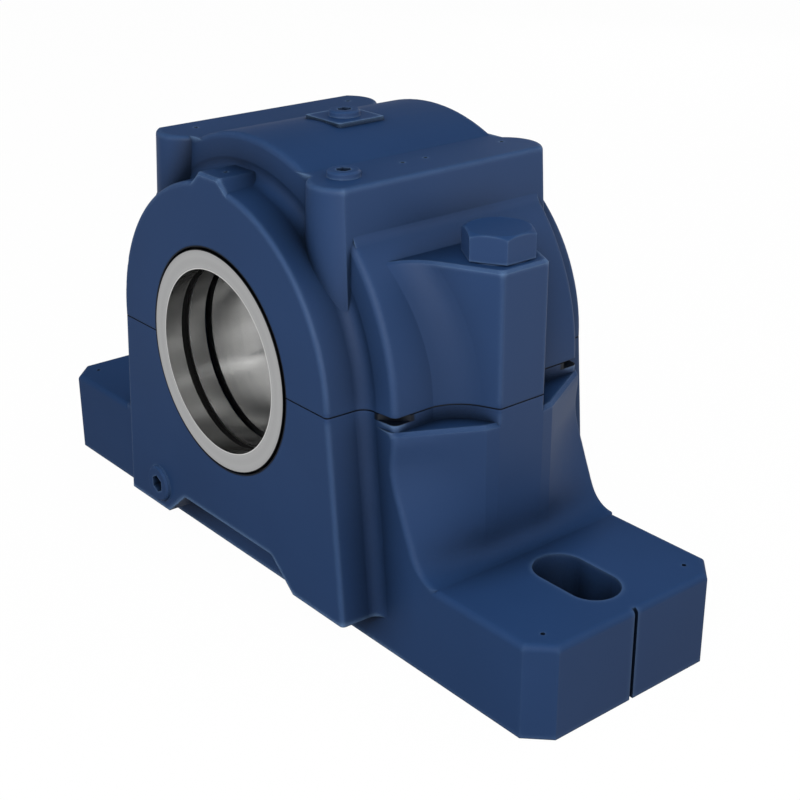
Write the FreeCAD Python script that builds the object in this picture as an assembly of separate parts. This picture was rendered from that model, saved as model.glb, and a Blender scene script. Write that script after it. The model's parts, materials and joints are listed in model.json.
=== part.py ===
import FreeCAD, Part
import math
import os

V = FreeCAD.Vector

# Split plummer block: a cast base and cap bolted together round a double-row
# spherical roller bearing on an adapter sleeve, with a labyrinth seal at each end.
# X runs foot to foot, Y along the shaft, Z up. The origin is on the mounting face,
# straight below the middle of the shaft. Sizes are in millimetres.

# Housing casting
CENTRE_HEIGHT = 114.3
BASE_LENGTH = 387.35
BASE_WIDTH = 111.1
FOOT_THICKNESS = 44.45
FOOT_CORNER = 10.5
FOOT_EDGE_ROUND = 3.0
END_GROOVE_WIDTH = 2.0
END_GROOVE_DEPTH = 2.0
CAST_ROUND = 3.0
BARREL_RADIUS = 102.0
BARREL_FACE_SLOPE = 1.25
JOINT_GROOVE_DEPTH = 0.4
JOINT_GROOVE_HEIGHT = 0.25

# Foot slots for the mounting bolts
SLOT_INSET = 34.925
SLOT_LENGTH = 44.0
SLOT_WIDTH = 24.6

# Walls of the base, from the recess under the joint down to the feet
LIP_DROP = 6.3
LIP_BEVEL = 1.6
WALL_BEND_DROP = 27.0
WALL_SLOPE_POWER = 1.15
WALL_SLOPE_SECTIONS = 3
WALL_FOOT_REACH = 27.5
WALL_FOOT_ROUND = 9.0
WALL_FOOT_SECTIONS = 4
WALL_CORNER_ROUND = 3.0
WALL_FLANK_REACH = 19.5
WALL_TIP_PROUD = 0.5
WALL_TIP_FLARE = 0.5
FLANK_EASE = 0.05
PRY_SLOT_HEIGHT = 3.0
PRY_SLOT_REACH = 10.0

# Cored pockets under the base
POCKET_INNER = 58.0
POCKET_OUTER = 121.0
POCKET_HALF_WIDTH = 31.0
POCKET_SHELL = 12.0
POCKET_SHOULDER = 106.0
POCKET_HEIGHT = 50.0
POCKET_ROUND = 6.0

# Seal collars on the front and the back
COLLAR_FACE = 75.8
COLLAR_RADIUS = 83.2
COLLAR_TAPER = 1.0
COLLAR_ROUND = 2.0
COLLAR_BLEND = 6.0
COLLAR_BLEND_RUN_OUT = 1.0
COLLAR_FLARE = 8.0
COLLAR_CLEARANCE = 16.0
NOTCH_HEIGHT = 14.0
NOTCH_HALF_BOTTOM = 53.8
NOTCH_HALF_TOP = 37.4
NOTCH_ROUND = 2.0
COLLAR_PAD_RISE = 4.3
COLLAR_PAD_HALF_TOP = 8.0
COLLAR_PAD_HALF_FOOT = 12.3
PAD_ROUND = 1.0

# Flat-topped blocks at both sides of the arch of the cap
BLOCK_DROP = 8.9
BLOCK_END = 72.7
BLOCK_ROOT = 30.0
BLOCK_SETBACK = 1.0
BLOCK_DRAFT_DEGREES = 2.7
BLOCK_EDGE_ROUND = 2.0
BLOCK_FOOT_BLEND = 8.0
BLOCK_DEPTH = 62.0
NOSE_CENTRE = 60.0
NOSE_RADIUS = 16.4
NOSE_PROUD = 6.8

# Cap bolts and the bosses that carry them
BOLT_OFFSET = 105.0
BOLT_RADIUS = 9.525
BOLT_HOLE_CLEARANCE = 0.8
BOLT_THREAD_CLEARANCE = 0.03
BOLT_ENGAGEMENT = 30.0
BOLT_HOLE_SPARE = 6.0
BOLT_HEAD_FLATS = 28.6
BOLT_HEAD_HEIGHT = 11.9
BOLT_CROWN_INSET = 0.4
BOLT_CROWN_DEGREES = 30.0
BOLT_WASHER_FACE = 1.0
BOLT_WASHER_INSET = 0.7
BOLT_END_CHAMFER = 1.5
BOSS_TIP = 122.4
BOSS_TIP_HALF = 13.0
BOSS_RISE = 61.3
BOSS_FLANK_DEGREES = 25.0
BOSS_BLEND = 22.0
BOSS_SINK = 0.3
BOSS_CORNER_ROUND = 1.5
BOSS_RIM_BEVEL = 1.0
BOSS_SECTIONS = 5

# Dowel pins in the joint
DOWEL_RADIUS = 2.5
DOWEL_LENGTH = 24.0
DOWEL_INSET = 4.8
DOWEL_Y = 40.0
DOWEL_CLEARANCE = 0.03
DOWEL_TOP_SPARE = 1.0

# Bearing: outer ring, rollers in two rows, cages, guide ring and inner ring
BEARING_RADIUS = 90.0
BEARING_WIDTH = 46.0
BEARING_EDGE_ROUND = 2.0
SEAT_CLEARANCE = 0.02
RACEWAY_RADIUS = 82.0
OIL_GROOVE_WIDTH = 9.0
OIL_GROOVE_DEPTH = 1.5
OIL_HOLE_RADIUS = 2.5
OIL_HOLES = 3
ROLLERS = 19
ROLLER_RADIUS = 10.2
ROLLER_END_RADIUS = 9.75
ROLLER_LENGTH = 16.6
ROLLER_TILT_DEGREES = 10.0
RUNNING_GAP = 0.08
RACE_ARC = 82.0
INNER_RING_RADIUS = 61.5
INNER_LAND_HALF = 2.8
INNER_FLANGE = 3.4
INNER_BORE_RADIUS = 50.0
TAPER = 1.0 / 24.0
CAGE_THICKNESS = 3.0
CAGE_POCKET_CLEARANCE = 0.35
CAGE_INNER_EDGE = 2.7
CAGE_END_RECESS = 0.5
GUIDE_RING_WIDTH = 4.4
GUIDE_RING_RADIUS = 72.4
GUIDE_RING_CLEARANCE = 0.3

# Locating rings that fill the seat at both sides of the bearing
LOCATING_RING_WIDTH = 8.0
LOCATING_RING_BORE = 81.5
LOCATING_RING_GAP_DEGREES = 22.0

# Adapter sleeve, lock washer and lock nut
SHAFT_RADIUS = 43.66
SLEEVE_FRONT = 50.5
SLEEVE_REAR = 31.0
SLEEVE_THREAD_DROP = 0.15
SLEEVE_TAPER_CLEARANCE = 0.02
SLEEVE_SLOT = 5.0
SLEEVE_SLOT_DEGREES = 60.0
SLEEVE_CHAMFER = 1.0
WASHER_THICKNESS = 2.0
WASHER_RADIUS = 65.5
WASHER_TOOTH_RADIUS = 70.5
WASHER_TOOTH_WIDTH = 8.0
WASHER_TEETH = 17
WASHER_TAB_CLEARANCE = 1.0
NUT_RADIUS = 65.0
NUT_WIDTH = 20.0
NUT_CHAMFER = 2.0
NUT_SLOTS = 4
NUT_SLOT_WIDTH = 12.0
NUT_SLOT_DEPTH = 5.0
NUT_CLEARANCE = 0.05

# Labyrinth seal rings on the shaft, their O-rings and the grooves for them
SEAL_PROUD = 0.6
SEAL_INNER_END = 54.5
SEAL_RADIUS = 52.6
SEAL_FIN_RADIUS = 60.0
SEAL_FIN_WIDTH = 4.0
SEAL_FIN_PLACES = (59.5, 68.5)
SEAL_RADIAL_GAP = 1.1
SEAL_AXIAL_GAP = 1.0
SEAL_EDGE_CHAMFER = 0.2
ORING_GROOVE_OUTER = 67.7
ORING_GROOVE_WIDTH = 4.1
ORING_CLEARANCE = 0.05

# Oil chambers beside the seat
CHAMBER_RADIUS = 91.5
CHAMBER_END = 49.0
CHAMBER_ROUND = 4.0

# Plugs
PLUG_HEAD_CHAMFER = 0.8
PLUG_HEX_DEPTH = 4.5
PLUG_THREAD_CLEARANCE = 0.05
PLUG_HOLE_SPARE = 1.0
GREASE_PLUG_RADIUS = 7.3
GREASE_PLUG_HEAD = 3.0
GREASE_PLUG_THREAD = 5.5
GREASE_PLUG_WALL_SHARE = 0.6
GREASE_PLUG_HEX = 6.0
GREASE_HOLE_RADIUS = 3.0
SIDE_PLUG_X = 55.7
SIDE_PLUG_Y = 43.4
DRAIN_PLUG_RADIUS = 9.3
DRAIN_PLUG_HEAD = 2.2
DRAIN_PLUG_THREAD = 8.0
DRAIN_PLUG_LENGTH = 14.0
DRAIN_PLUG_HEX = 8.0
DRAIN_HOLE_RADIUS = 4.0
DRAIN_X = 60.7
DRAIN_HEIGHT = 29.3
DRAIN_SETBACK = 2.0
TOP_PAD_HALF = 13.0
TOP_PAD_PROUD = 1.0

# Small drill marks left by the foundry on the flat faces
MARK_RADIUS = 1.0
MARK_DEPTH = 1.2
FOOT_MARK_END_INSET = 11.7
FOOT_MARK_SIDE_INSET = 12.5
BLOCK_MARKS_RIGHT = ((54.0, -10.0), (54.0, 3.0), (54.0, 48.5))
BLOCK_MARKS_LEFT = ((-60.0, -43.0), (-60.0, 48.0))
COLLAR_MARK_Y = 66.0

# Sizes worked out from the ones above
HALF_WIDTH = BASE_WIDTH / 2
HALF_LENGTH = BASE_LENGTH / 2
SLOT_X = HALF_LENGTH - SLOT_INSET
BARREL_RIM = HALF_WIDTH - BARREL_FACE_SLOPE
BLOCK_RISE = BARREL_RADIUS - BLOCK_DROP
BLOCK_TOP = CENTRE_HEIGHT + BLOCK_RISE
BLOCK_DRAFT = math.tan(math.radians(BLOCK_DRAFT_DEGREES))
TOP_PAD_TOP = CENTRE_HEIGHT + BARREL_RADIUS + TOP_PAD_PROUD
BOSS_TOP = CENTRE_HEIGHT + BOSS_RISE
LIP_HEIGHT = CENTRE_HEIGHT - LIP_DROP
HALF_BEARING = BEARING_WIDTH / 2
SEAL_FACE = COLLAR_FACE + SEAL_PROUD
SEAT_RADIUS = BEARING_RADIUS + SEAT_CLEARANCE
SEAT_HALF = HALF_BEARING + LOCATING_RING_WIDTH
GREASE_PLUG_LENGTH = GREASE_PLUG_WALL_SHARE * (TOP_PAD_TOP - CENTRE_HEIGHT - SEAT_RADIUS)
ROLLER_TILT = math.radians(ROLLER_TILT_DEGREES)
ROLLER_DISTANCE = RACEWAY_RADIUS - ROLLER_RADIUS - RUNNING_GAP

# How far a cutter runs past what it cuts, and the size below which lengths are equal
CUT_SPARE = 5.0
TINY = 0.001


def flat(z):
    """Place plan points (x, y) at height z."""
    return lambda x, y: V(x, y, z)


def upright(y):
    """Place front-view points (x, z) at depth y."""
    return lambda x, z: V(x, y, z)


def beside_shaft(radius, y):
    """Place a point of a turned section: its radius from the shaft axis, and y."""
    return V(radius, y, CENTRE_HEIGHT)


def outline(corners, place):
    """Closed wire through (a, b, radius) corners, each one rounded by its own radius."""
    points = [V(a, b, 0) for a, b, _ in corners]
    stops = []
    for index, (_, _, radius) in enumerate(corners):
        here = points[index]
        to_last = (points[index - 1] - here).normalize()
        to_next = (points[(index + 1) % len(points)] - here).normalize()
        if radius == 0:
            stops.append((here, None, here))
            continue
        half_angle = to_last.getAngle(to_next) / 2
        reach = radius / math.tan(half_angle)
        inward = (to_last + to_next).normalize()
        middle = here + inward * (radius / math.sin(half_angle) - radius)
        stops.append((here + to_last * reach, middle, here + to_next * reach))
    edges = []
    for index, (_, _, leave) in enumerate(stops):
        arrive, middle, onward = stops[(index + 1) % len(stops)]
        if leave.distanceToPoint(arrive) > TINY:
            edges.append(Part.makeLine(place(leave.x, leave.y), place(arrive.x, arrive.y)))
        if middle is not None:
            arc = Part.Arc(place(arrive.x, arrive.y), place(middle.x, middle.y), place(onward.x, onward.y))
            edges.append(arc.toShape())
    return Part.Wire(edges)


def prism(corners, place, sweep):
    """Solid swept straight from an outline."""
    return Part.Face(outline(corners, place)).extrude(sweep)


def turned(corners, degrees=360.0):
    """Solid turned about the shaft axis from (radius, y, rounding) corners."""
    face = Part.Face(outline(corners, beside_shaft))
    return face.revolve(V(0, 0, CENTRE_HEIGHT), V(0, -1, 0), degrees)


def box(x0, x1, y0, y1, z0, z1):
    """Block between two corners."""
    return Part.makeBox(x1 - x0, y1 - y0, z1 - z0, V(x0, y0, z0))


def mirrored_x(shape):
    """The same form on the other foot's side."""
    return shape.mirror(V(0, 0, 0), V(1, 0, 0))


def mirrored_y(shape):
    """The same form at the other end of the shaft."""
    return shape.mirror(V(0, 0, 0), V(0, 1, 0))


def both_sides(shape):
    """A form and its mirror image on the other foot's side."""
    return [shape, mirrored_x(shape)]


def both_ends(shape):
    """A form and its mirror image at the other end of the shaft."""
    return [shape, mirrored_y(shape)]


def fused(shapes):
    """One casting from overlapping forms."""
    return shapes[0].fuse(shapes[1:]).removeSplitter()


def radial(degrees):
    """Unit vector from the shaft axis, measured from straight up towards +X."""
    angle = math.radians(degrees)
    return V(math.sin(angle), 0, math.cos(angle))


def turned_about_shaft(shape, degrees):
    """Copy of a shape turned about the shaft axis, from +Z towards +X."""
    copy = shape.copy()
    copy.rotate(V(0, 0, CENTRE_HEIGHT), V(0, 1, 0), degrees)
    return copy


def round_shaft(shape, count):
    """Evenly spaced copies round the shaft, the first one in line with the sleeve's slit."""
    step = 360.0 / count
    return [turned_about_shaft(shape, SLEEVE_SLOT_DEGREES + step * index) for index in range(count)]


def seat_and_seal_bore():
    """Everything bored out of both castings: seal bores, chambers and bearing seat."""
    reach = COLLAR_FACE + CUT_SPARE
    bore = SEAL_RADIUS + SEAL_RADIAL_GAP
    groove = SEAL_FIN_RADIUS + SEAL_AXIAL_GAP
    half_groove = SEAL_FIN_WIDTH / 2 + SEAL_AXIAL_GAP
    cutters = [turned([(0, -reach, 0), (bore, -reach, 0), (bore, reach, 0), (0, reach, 0)])]
    chamber = [(0, SEAT_HALF, 0), (CHAMBER_RADIUS, SEAT_HALF, 0),
               (CHAMBER_RADIUS, CHAMBER_END, CHAMBER_ROUND), (0, CHAMBER_END, 0)]
    cutters += both_ends(turned(chamber))
    cutters.append(turned([(0, -SEAT_HALF, 0), (SEAT_RADIUS, -SEAT_HALF, 0),
                           (SEAT_RADIUS, SEAT_HALF, 0), (0, SEAT_HALF, 0)]))
    for place in SEAL_FIN_PLACES:
        ring = [(0, place - half_groove, 0), (groove, place - half_groove, 0),
                (groove, place + half_groove, 0), (0, place + half_groove, 0)]
        cutters += both_ends(turned(ring))
    return fused(cutters)


def boss_outline(rise, inset=0.0):
    """Plan of one bolt boss at a height above the joint, blended into the barrel.

    The blend ends a little inside the barrel, so that the two surfaces cross.
    """
    wall = math.sqrt(BARREL_RADIUS ** 2 - rise ** 2) - BOSS_SINK
    root = wall - BOSS_BLEND
    slope = math.tan(math.radians(BOSS_FLANK_DEGREES))
    tip = BOSS_TIP - inset
    half = BOSS_TIP_HALF - inset / 2
    corner = half + (tip - wall) * slope
    blend_end = corner + BOSS_BLEND * math.tan(math.radians(90 - BOSS_FLANK_DEGREES) / 2)
    outer = blend_end + BOSS_CORNER_ROUND
    return [(root, -outer, 0), (wall, -outer, 0), (wall, -corner, BOSS_BLEND),
            (tip, -half, BOSS_CORNER_ROUND), (tip, half, BOSS_CORNER_ROUND),
            (wall, corner, BOSS_BLEND), (wall, outer, 0), (root, outer, 0)]


def cap_boss():
    """Bolt boss of the cap: plan sections up the curve of the barrel, with a bevelled rim."""
    top = BOSS_RISE - BOSS_RIM_BEVEL
    rises = [top * step / (BOSS_SECTIONS - 1) for step in range(BOSS_SECTIONS)]
    wires = [outline(boss_outline(rise), flat(CENTRE_HEIGHT + rise)) for rise in rises]
    rim = [outline(boss_outline(top), flat(CENTRE_HEIGHT + top)),
           outline(boss_outline(BOSS_RISE, BOSS_RIM_BEVEL), flat(BOSS_TOP))]
    return [Part.makeLoft(wires, True, False), Part.makeLoft(rim, True, True)]


def collar_spread():
    """Radius at which a collar's blend has run out into the flat face behind it."""
    return COLLAR_RADIUS + COLLAR_TAPER + COLLAR_BLEND + COLLAR_BLEND_RUN_OUT


def collar_section():
    """Half section of a seal collar, from the barrel face out to the collar face."""
    root = COLLAR_RADIUS + COLLAR_TAPER
    return [(collar_spread(), -HALF_WIDTH, 0), (root, -HALF_WIDTH, COLLAR_BLEND),
            (COLLAR_RADIUS, -COLLAR_FACE, COLLAR_ROUND)]


def cap_collar():
    """Upper half of a seal collar, turned about the shaft."""
    root = CHAMBER_END - CUT_SPARE
    inner = SEAL_RADIUS - CUT_SPARE
    section = [(inner, -root, 0), (collar_spread(), -root, 0)] + collar_section()
    section.append((inner, -COLLAR_FACE, 0))
    return turned(section, 180.0)


def base_collar():
    """Lower half of a seal collar, flaring down to its overhanging bottom."""
    root = CHAMBER_END - CUT_SPARE
    spread = collar_spread()
    wires = []
    for height, flare in ((CENTRE_HEIGHT, 0.0), (COLLAR_CLEARANCE, COLLAR_FLARE)):
        right = [(a + flare, b, r) for a, b, r in collar_section()]
        left = [(-a, b, r) for a, b, r in reversed(right)]
        plan = [(-spread - flare, -root, 0), (spread + flare, -root, 0)] + right + left
        wires.append(outline(plan, flat(height)))
    return Part.makeLoft(wires, True, True)


def base_collar_notch():
    """Opening under a collar, with sloping ends."""
    bottom = COLLAR_CLEARANCE - CUT_SPARE
    slope = (NOTCH_HALF_BOTTOM - NOTCH_HALF_TOP) / NOTCH_HEIGHT
    half = NOTCH_HALF_BOTTOM + slope * CUT_SPARE
    top = COLLAR_CLEARANCE + NOTCH_HEIGHT
    corners = [(-half, bottom, 0), (half, bottom, 0),
               (NOTCH_HALF_TOP, top, NOTCH_ROUND), (-NOTCH_HALF_TOP, top, NOTCH_ROUND)]
    front = -COLLAR_FACE - CUT_SPARE
    return prism(corners, upright(front), V(0, -HALF_WIDTH - front, 0))


def cap_barrel():
    """Upper half of the barrel, turned, with rounded rims."""
    inner = SEAL_RADIUS - CUT_SPARE
    flat_end = collar_spread()
    section = [(inner, -HALF_WIDTH, 0), (flat_end, -HALF_WIDTH, 0), (BARREL_RADIUS, -BARREL_RIM, CAST_ROUND),
               (BARREL_RADIUS, BARREL_RIM, CAST_ROUND), (flat_end, HALF_WIDTH, 0), (inner, HALF_WIDTH, 0)]
    return turned(section, 180.0)


def block_plan(drop):
    """Plan of a block at a depth below its top: it widens downwards by its draft."""
    spread = drop * BLOCK_DRAFT
    radius = NOSE_RADIUS + spread
    end = BLOCK_END + spread
    centre_y = HALF_WIDTH + NOSE_PROUD - NOSE_RADIUS
    setback = HALF_WIDTH - BLOCK_SETBACK
    foot = NOSE_CENTRE - math.sqrt(radius ** 2 - (setback - centre_y) ** 2)
    corner = centre_y + math.sqrt(radius ** 2 - (end - NOSE_CENTRE) ** 2)
    place = flat(BLOCK_TOP - drop)
    front = [place(BLOCK_ROOT, -setback), place(foot, -setback), place(NOSE_CENTRE, -centre_y - radius),
             place(end, -corner)]
    rear = [place(point.x, -point.y) for point in reversed(front)]
    edges = [Part.makeLine(front[0], front[1]), Part.Arc(*front[1:]).toShape(),
             Part.makeLine(front[3], rear[0]), Part.Arc(*rear[:3]).toShape(),
             Part.makeLine(rear[2], rear[3]), Part.makeLine(rear[3], front[0])]
    return Part.Wire(edges)


def cap_block():
    """One flat-topped block, its ends bulging out over the collars."""
    block = Part.makeLoft([block_plan(BLOCK_DEPTH), block_plan(0.0)], True, True)
    rim = [edge for edge in block.Edges if is_rim_edge(edge)]
    return block.makeFillet(BLOCK_EDGE_ROUND, rim)


def is_rim_edge(edge):
    """True for an edge round the block's top, apart from the ones hidden inside the barrel."""
    extent = edge.BoundBox
    return extent.ZMin > BLOCK_TOP - TINY and extent.XMax > NOSE_CENTRE


def block_foot_blend():
    """Hollow blend between a block's end face and the barrel."""
    reach = BARREL_RADIUS + BLOCK_FOOT_BLEND
    drop = BLOCK_RISE - math.sqrt(reach ** 2 - (BLOCK_END + BLOCK_FOOT_BLEND) ** 2)
    end = BLOCK_END + drop * BLOCK_DRAFT
    centre_x = end + BLOCK_FOOT_BLEND
    centre_rise = math.sqrt(reach ** 2 - centre_x ** 2)
    share = BARREL_RADIUS / reach
    middle = V(centre_x, 0, CENTRE_HEIGHT + centre_rise)
    on_face = V(end, 0, middle.z)
    on_barrel = V(centre_x * share, 0, CENTRE_HEIGHT + centre_rise * share)
    inward = ((on_face + on_barrel) * 0.5 - middle).normalize()
    hidden = V(BLOCK_END - CAST_ROUND, 0, on_barrel.z - CAST_ROUND)
    raised = V(BLOCK_END - CAST_ROUND, 0, middle.z)
    arc = Part.Arc(on_face, middle + inward * BLOCK_FOOT_BLEND, on_barrel).toShape()
    edges = [arc, Part.makeLine(on_barrel, hidden), Part.makeLine(hidden, raised),
             Part.makeLine(raised, on_face)]
    face = Part.Face(Part.Wire(edges))
    half = BARREL_RIM - CAST_ROUND / 2
    face.translate(V(0, -half, 0))
    return face.extrude(V(0, 2 * half, 0))


def cap_top_pad():
    """Square pad round the top grease plug."""
    half = TOP_PAD_HALF
    low = CENTRE_HEIGHT + BARREL_RADIUS - CUT_SPARE
    corners = [(-half, -half, PAD_ROUND), (half, -half, PAD_ROUND),
               (half, half, PAD_ROUND), (-half, half, PAD_ROUND)]
    return prism(corners, flat(low), V(0, 0, TOP_PAD_TOP - low))


def cap_collar_pad():
    """Small flat pad along the crest of a collar."""
    top = CENTRE_HEIGHT + COLLAR_RADIUS + COLLAR_PAD_RISE
    low = top - 2 * COLLAR_PAD_RISE
    half = COLLAR_PAD_HALF_TOP
    spread = 2 * COLLAR_PAD_HALF_FOOT - half
    corners = [(-spread, low, 0), (spread, low, 0), (half, top, 0), (-half, top, 0)]
    inset = [(-spread, low, 0), (spread, low, 0),
             (half - PAD_ROUND / 2, top - PAD_ROUND, 0), (PAD_ROUND / 2 - half, top - PAD_ROUND, 0)]
    front = -COLLAR_FACE + PAD_ROUND
    wires = [outline(inset, upright(-COLLAR_FACE)), outline(corners, upright(front))]
    bevel = Part.makeLoft(wires, True, True)
    return [prism(corners, upright(front), V(0, PAD_ROUND - HALF_WIDTH - front, 0)), bevel]


def upright_hole(x, y, radius, z0, z1):
    """Round cutter standing on its end."""
    return Part.makeCylinder(radius, z1 - z0, V(x, y, z0))


def dowel_places():
    """The two dowels stand at opposite corners of the joint."""
    x = BARREL_RADIUS - DOWEL_INSET
    return [(x, -DOWEL_Y), (-x, DOWEL_Y)]


def drill_mark(x, y, top):
    """Small blind hole in a flat face at height top."""
    return upright_hole(x, y, MARK_RADIUS, top - MARK_DEPTH, top + CUT_SPARE)


def cap_marks():
    """Drill marks on the blocks and the collar pads."""
    pad_top = CENTRE_HEIGHT + COLLAR_RADIUS + COLLAR_PAD_RISE
    marks = [drill_mark(x, y, BLOCK_TOP) for x, y in BLOCK_MARKS_RIGHT + BLOCK_MARKS_LEFT]
    return marks + both_ends(drill_mark(0, -COLLAR_MARK_Y, pad_top))


def grease_hole(x, y, top):
    """Tapped hole for a grease plug, drilled on down into the bore."""
    thread = GREASE_PLUG_THREAD + PLUG_THREAD_CLEARANCE
    thread_end = top - GREASE_PLUG_LENGTH - PLUG_HOLE_SPARE
    return [upright_hole(x, y, thread, thread_end, top + CUT_SPARE),
            upright_hole(x, y, GREASE_HOLE_RADIUS, CENTRE_HEIGHT, top)]


def housing_cap():
    """Cap casting."""
    forms = [cap_barrel()]
    forms += both_sides(cap_block())
    forms += both_sides(block_foot_blend())
    for boss in cap_boss():
        forms += both_sides(boss)
    forms += both_ends(cap_collar())
    for form in cap_collar_pad():
        forms += both_ends(form)
    forms.append(cap_top_pad())
    cap = fused(forms)
    below = CENTRE_HEIGHT - CUT_SPARE
    cutters = [seat_and_seal_bore()]
    bolt_hole = BOLT_RADIUS + BOLT_HOLE_CLEARANCE
    cutters += both_sides(upright_hole(BOLT_OFFSET, 0, bolt_hole, below, BOSS_TOP + CUT_SPARE))
    for x, y in dowel_places():
        dowel_top = CENTRE_HEIGHT + DOWEL_LENGTH / 2 + DOWEL_TOP_SPARE
        cutters.append(upright_hole(x, y, DOWEL_RADIUS + DOWEL_CLEARANCE, below, dowel_top))
    cutters += grease_hole(0, 0, TOP_PAD_TOP)
    cutters += grease_hole(SIDE_PLUG_X, -SIDE_PLUG_Y, BLOCK_TOP)
    cutters += cap_marks()
    cutters.append(joint_groove())
    return cap.cut(cutters)


def foot_plate():
    """Base plate with chamfered corners and rounded top edges."""
    half_x = HALF_LENGTH
    half_y = HALF_WIDTH
    cut = FOOT_CORNER
    corners = [(half_x - cut, -half_y, 0), (half_x, -half_y + cut, 0), (half_x, half_y - cut, 0),
               (half_x - cut, half_y, 0), (-half_x + cut, half_y, 0), (-half_x, half_y - cut, 0),
               (-half_x, -half_y + cut, 0), (-half_x + cut, -half_y, 0)]
    plate = prism(corners, flat(0), V(0, 0, FOOT_THICKNESS))
    top_edges = [edge for edge in plate.Edges if edge.BoundBox.ZMin > FOOT_THICKNESS - TINY]
    return plate.makeFillet(FOOT_EDGE_ROUND, top_edges)


def wall_reach(height, top_reach, foot_reach, flare_share):
    """Reach of the wall at a height: upright above the bend, then a slope and a round foot."""
    bend = CENTRE_HEIGHT - WALL_BEND_DROP
    if height >= bend:
        return top_reach
    slope_reach = top_reach + (foot_reach - WALL_FOOT_ROUND - top_reach) * flare_share
    depth = (bend - height) / (bend - FOOT_THICKNESS)
    reach = top_reach + (slope_reach - top_reach) * depth ** WALL_SLOPE_POWER
    above_foot = height - FOOT_THICKNESS
    if above_foot >= WALL_FOOT_ROUND:
        return reach
    rise = WALL_FOOT_ROUND - above_foot
    return reach + (foot_reach - slope_reach) * (1 - math.sqrt(1 - (rise / WALL_FOOT_ROUND) ** 2))


def wall_heights():
    """Heights of the plan sections of the base wall, closer together in the round foot."""
    bend = CENTRE_HEIGHT - WALL_BEND_DROP
    slope_end = FOOT_THICKNESS + WALL_FOOT_ROUND
    heights = [LIP_HEIGHT - LIP_BEVEL, (LIP_HEIGHT + bend) / 2]
    for step in range(WALL_SLOPE_SECTIONS):
        heights.append(bend + (slope_end - bend) * step / WALL_SLOPE_SECTIONS)
    for step in range(WALL_FOOT_SECTIONS):
        turn = math.radians(90.0 * step / (WALL_FOOT_SECTIONS - 1))
        heights.append(slope_end - WALL_FOOT_ROUND * math.sin(turn))
    return heights


def wall_outline(corner, tip):
    """Plan of the base wall: front corners, slanting flanks and flat tips."""
    flank_end = tip - (tip - corner) * FLANK_EASE
    quarter = [(corner, HALF_WIDTH, WALL_CORNER_ROUND), (flank_end, WALL_FLANK_REACH, 0),
               (tip, BOSS_TIP_HALF, 0)]
    right = [(x, -y, r) for x, y, r in quarter] + [(x, y, r) for x, y, r in reversed(quarter)]
    left = [(-x, -y, r) for x, y, r in right]
    return right + left


def wall_plan(height):
    """Plan corners of the base wall at a height."""
    foot_reach = BARREL_RADIUS + WALL_FOOT_REACH
    corner = wall_reach(height, BARREL_RADIUS, foot_reach, 1.0)
    tip = wall_reach(height, BOSS_TIP, foot_reach + WALL_TIP_PROUD, WALL_TIP_FLARE)
    return wall_outline(corner, tip)


def base_wall():
    """Wall of the base, swelling from the barrel and bosses down into the feet."""
    wires = [outline(wall_plan(height), flat(height)) for height in wall_heights()]
    wall = Part.makeLoft(wires, True, False)
    rim_height = LIP_HEIGHT - LIP_BEVEL
    rim = [outline(wall_plan(rim_height), flat(rim_height)),
           outline(wall_outline(BARREL_RADIUS - LIP_BEVEL, BOSS_TIP - LIP_BEVEL), flat(LIP_HEIGHT))]
    root = Part.Face(outline(wall_plan(FOOT_THICKNESS), flat(FOOT_THICKNESS)))
    return [wall, Part.makeLoft(rim, True, True), root.extrude(V(0, 0, -2 * FOOT_EDGE_ROUND))]


def neck_outline(inset=0.0):
    """Plan of the barrel in the joint."""
    rim = BARREL_RADIUS - inset
    flat_end = collar_spread() - inset
    corners = [(flat_end, inset - HALF_WIDTH, 0), (rim, inset - BARREL_RIM, CAST_ROUND),
               (rim, BARREL_RIM - inset, CAST_ROUND), (flat_end, HALF_WIDTH - inset, 0)]
    return corners + [(-x, -y, r) for x, y, r in corners]


def collar_outline(inset=0.0):
    """Plan of a collar in the joint."""
    root = CHAMBER_END - CUT_SPARE
    right = [(x - inset, y + inset, r) for x, y, r in collar_section()]
    left = [(-x, y, r) for x, y, r in reversed(right)]
    spread = collar_spread() - inset
    return [(-spread, -root, 0), (spread, -root, 0)] + right + left


def joint_groove():
    """Cutter for the fine groove that runs round the castings along their joint."""
    depth = JOINT_GROOVE_DEPTH
    height = JOINT_GROOVE_HEIGHT
    low = CENTRE_HEIGHT - height
    reach = BOSS_TIP + CUT_SPARE
    slab = box(-reach, reach, -COLLAR_FACE - CUT_SPARE, COLLAR_FACE + CUT_SPARE, low, low + 2 * height)
    rise = V(0, 0, 4 * height)
    core = [prism(neck_outline(depth), flat(low - height), rise)]
    core += both_sides(prism(boss_outline(0.0, depth), flat(low - height), rise))
    core += both_ends(prism(collar_outline(depth), flat(low - height), rise))
    return slab.cut(core)


def base_neck():
    """Top of the base, with the same plan as the cap where they meet."""
    low = LIP_HEIGHT - CUT_SPARE
    rise = V(0, 0, CENTRE_HEIGHT - low)
    boss = prism(boss_outline(0.0), flat(low), rise)
    return [prism(neck_outline(), flat(low), rise)] + both_sides(boss)


def pry_slot():
    """Thin corner slot in the joint, for parting the cap from the base."""
    inner = BARREL_RADIUS - PRY_SLOT_REACH
    outer = BARREL_RADIUS + CUT_SPARE
    front = -HALF_WIDTH - CUT_SPARE
    rear = -HALF_WIDTH + PRY_SLOT_REACH
    corners = [(inner - CUT_SPARE, front, 0), (outer, front, 0), (outer, rear + CUT_SPARE, 0)]
    low = CENTRE_HEIGHT - PRY_SLOT_HEIGHT
    return prism(corners, flat(low), V(0, 0, PRY_SLOT_HEIGHT + CUT_SPARE))


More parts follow.
